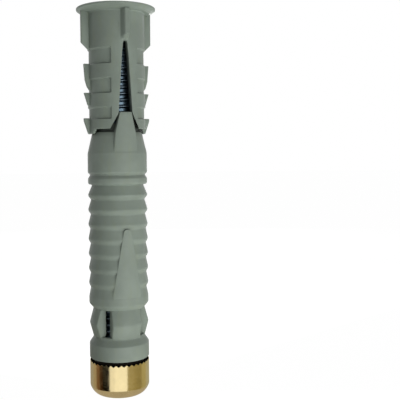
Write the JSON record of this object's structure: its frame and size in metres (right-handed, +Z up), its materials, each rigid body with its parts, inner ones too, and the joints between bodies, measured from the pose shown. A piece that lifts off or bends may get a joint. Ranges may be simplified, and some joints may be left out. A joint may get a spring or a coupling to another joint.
{
  "type": "double expansion anchor",
  "caption": "Double expansion anchor: flanged nylon sleeve over a ribbed nylon sleeve, drawn together by a threaded stud and a toothed brass cone nut.",
  "frame": {"origin": "centre of the cone nut's flat foot, on the anchor's axis", "axes": "+Z up the anchor's axis to the flange; the keys and slots face -Y and +Y, the barbed fins -X and +X"},
  "size_m": [0.0158, 0.0158, 0.0773],
  "materials": {
    "nylon": "moulded grey-green nylon, satin",
    "brass": "turned and passivated yellow, bright",
    "steel": "blue zinc plated"
  },
  "bodies": {
    "flanged_sleeve": {"upper_sleeve": "nylon"},
    "stud": {"threaded_stud": "steel"},
    "drawn_wedge": {"lower_sleeve": "nylon", "expander_nut": "brass"}
  },
  "joints": [
    {"name": "stud_turn", "type": "hinge", "parent": "flanged_sleeve", "child": "stud", "pos_m": [0, 0, 0.04], "axis": [0, 0, 1], "range_deg": [0, 1440]},
    {"name": "wedge_travel", "type": "slide", "parent": "flanged_sleeve", "child": "drawn_wedge", "axis": [0, 0, -1], "range_m": [0, 0.005]}
  ],
  "couplings": [
    {"joint": "wedge_travel", "follows": "stud_turn", "m_per_rad": 0.00019894}
  ]
}
